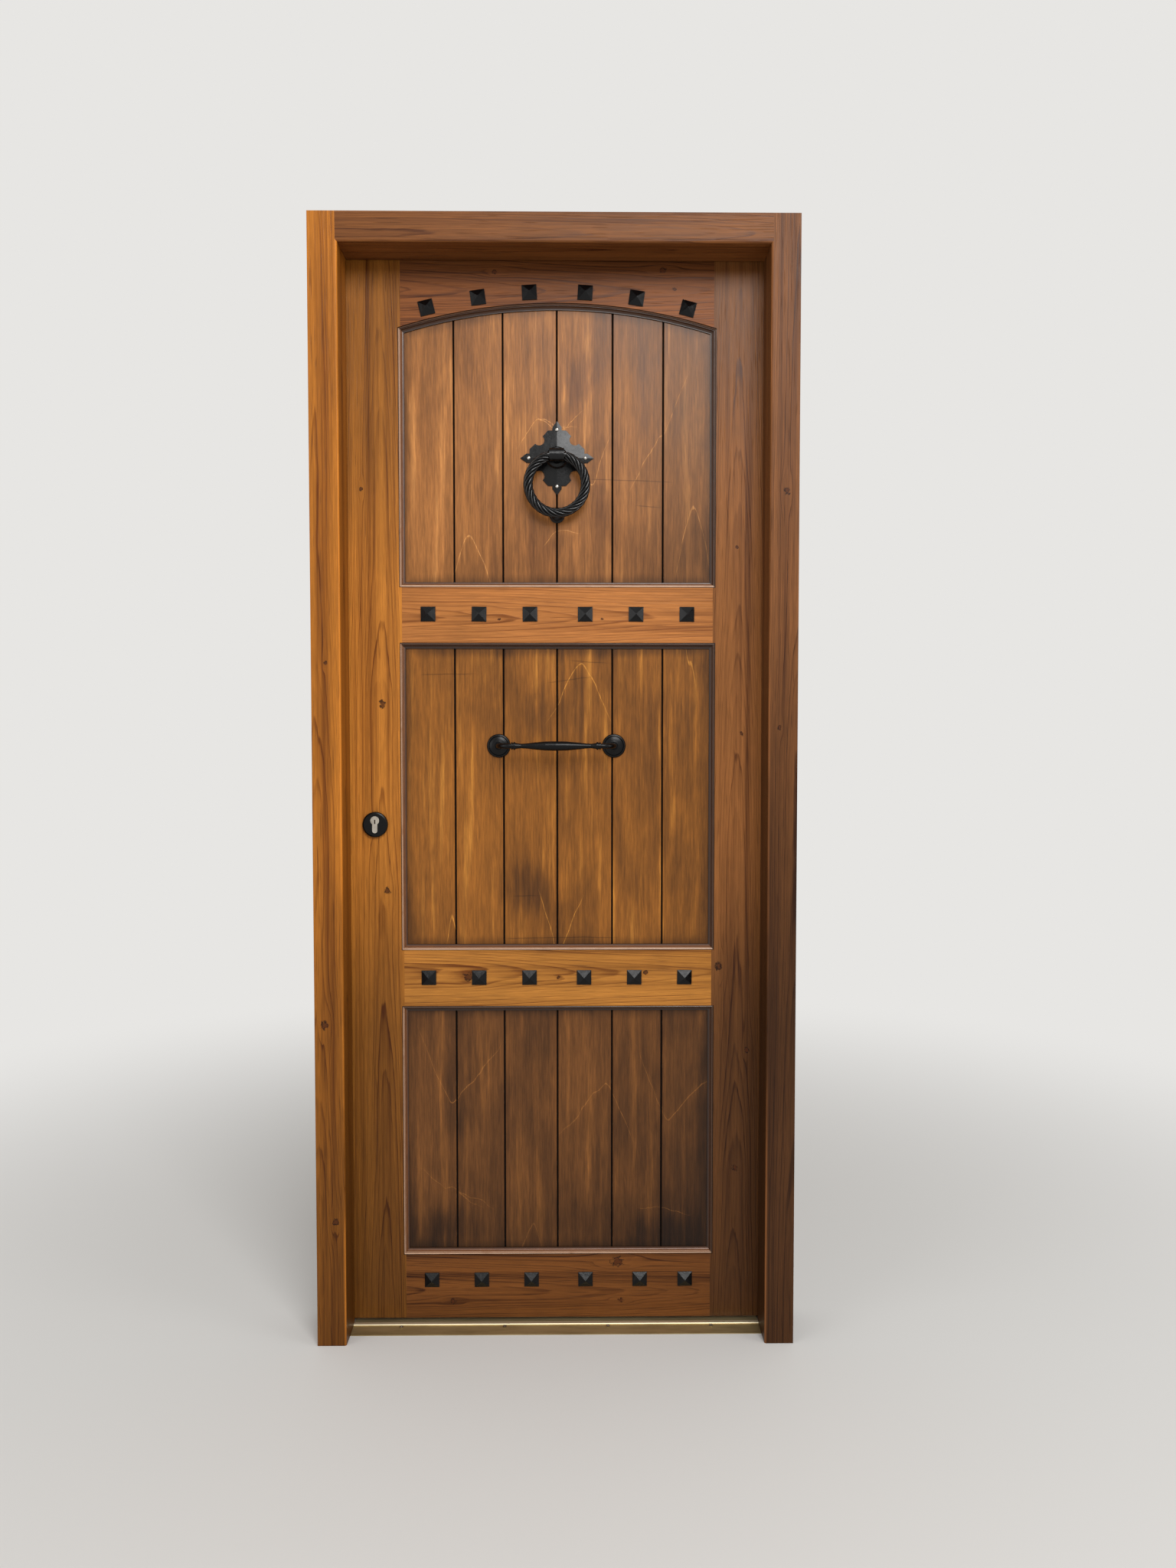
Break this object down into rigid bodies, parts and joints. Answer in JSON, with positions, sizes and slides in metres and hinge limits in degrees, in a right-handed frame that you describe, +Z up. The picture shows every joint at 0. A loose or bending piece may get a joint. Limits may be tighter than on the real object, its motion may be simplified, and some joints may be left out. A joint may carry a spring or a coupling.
{
  "type": "panelled entrance door with frame",
  "caption": "Timber entrance door in a rebated frame, with grooved panels, an arched top panel, pyramid studs, ring knocker, pull handle, lock and threshold.",
  "frame": {"origin": "on the floor, midway between the jambs, in the plane of the closed leaf's outer face", "axes": "+X to the right as seen from outside, +Y inwards, +Z up"},
  "size_m": [0.91, 0.1845, 2.127],
  "materials": {
    "stained_wood": "satin varnish over stained softwood",
    "panel_wood": "satin varnish over darker stained board",
    "moulding_wood": "satin varnish",
    "black_iron": "satin black paint over forged iron",
    "bright_nail": "domed bright steel",
    "threshold_metal": "bronze anodised, worn on the nosing",
    "seal_rubber": "matt",
    "hinge_steel": "plated steel",
    "lock_steel": "zinc-plated steel",
    "cylinder_brass": "satin brass"
  },
  "bodies": {
    "frame": {"lock_jamb": "stained_wood", "hinge_jamb": "stained_wood", "frame_head": "stained_wood", "threshold_plate": "threshold_metal", "threshold_screws": "bright_nail", "weather_seal": "seal_rubber", "strike_plate": "lock_steel", "strike_screws": "lock_steel", "frame_hinge_screws": "hinge_steel", "hinge_pins": "hinge_steel", "lower_hinge_frame_plate": "hinge_steel", "middle_hinge_frame_plate": "hinge_steel", "upper_hinge_frame_plate": "hinge_steel"},
    "leaf": {"lock_stile": "stained_wood", "hinge_stile": "stained_wood", "leaf_hinge_screws": "hinge_steel", "bottom_rail": "stained_wood", "lower_rail": "stained_wood", "upper_rail": "stained_wood", "top_rail": "stained_wood", "bottom_rail_studs": "black_iron", "lower_rail_studs": "black_iron", "upper_rail_studs": "black_iron", "top_rail_studs": "black_iron", "bottom_panel": "panel_wood", "middle_panel": "panel_wood", "top_panel": "panel_wood", "bottom_panel_moulding": "moulding_wood", "middle_panel_moulding": "moulding_wood", "top_panel_moulding": "moulding_wood", "bottom_panel_inner_moulding": "moulding_wood", "middle_panel_inner_moulding": "moulding_wood", "top_panel_inner_moulding": "moulding_wood", "pull_rose_left": "black_iron", "pull_rose_right": "black_iron", "pull_handle": "black_iron", "pull_bolts": "black_iron", "knocker_plate": "black_iron", "knocker_nails": "bright_nail", "knocker_anvil": "black_iron", "lock_case": "lock_steel", "lock_forend": "lock_steel", "forend_screws": "lock_steel", "inner_rose": "black_iron", "cylinder_body": "cylinder_brass", "cylinder_screw": "lock_steel", "outer_escutcheon": "black_iron", "inner_escutcheon": "black_iron", "lower_hinge_leaf_plate": "hinge_steel", "middle_hinge_leaf_plate": "hinge_steel", "upper_hinge_leaf_plate": "hinge_steel"},
    "ring": {"knocker_ring": "black_iron"},
    "lever": {"inner_lever": "black_iron", "lever_spindle": "lock_steel", "lock_follower": "lock_steel"},
    "latch": {"latch_bolt": "lock_steel"},
    "bolt": {"dead_bolt": "lock_steel"},
    "plug": {"cylinder_plug": "cylinder_brass", "cylinder_cam": "lock_steel", "thumb_turn": "lock_steel"}
  },
  "joints": [
    {"name": "door_swing", "type": "hinge", "parent": "frame", "child": "leaf", "pos_m": [0.4135, 0.0518, 1.067], "axis": [0, 0, -1], "range_deg": [0, 100]},
    {"name": "knocker_swing", "type": "hinge", "parent": "leaf", "child": "ring", "pos_m": [0.0025, -0.0165, 1.7017], "axis": [-1, 0, 0], "range_deg": [0, 100]},
    {"name": "lever_turn", "type": "hinge", "parent": "leaf", "child": "lever", "pos_m": [-0.352, 0.0225, 1.085], "axis": [0, -1, 0], "range_deg": [0, 30]},
    {"name": "latch_slide", "type": "slide", "parent": "leaf", "child": "latch", "axis": [-1, 0, 0], "range_m": [0, 0.012]},
    {"name": "key_turn", "type": "hinge", "parent": "leaf", "child": "plug", "pos_m": [-0.352, 0.0225, 1], "axis": [0, -1, 0], "range_deg": [0, 360]},
    {"name": "bolt_slide", "type": "slide", "parent": "leaf", "child": "bolt", "axis": [-1, 0, 0], "range_m": [0, 0.02]}
  ],
  "couplings": [
    {"joint": "latch_slide", "follows": "lever_turn", "m_per_rad": 0.0229},
    {"joint": "bolt_slide", "follows": "key_turn", "m_per_rad": 0.00318}
  ]
}
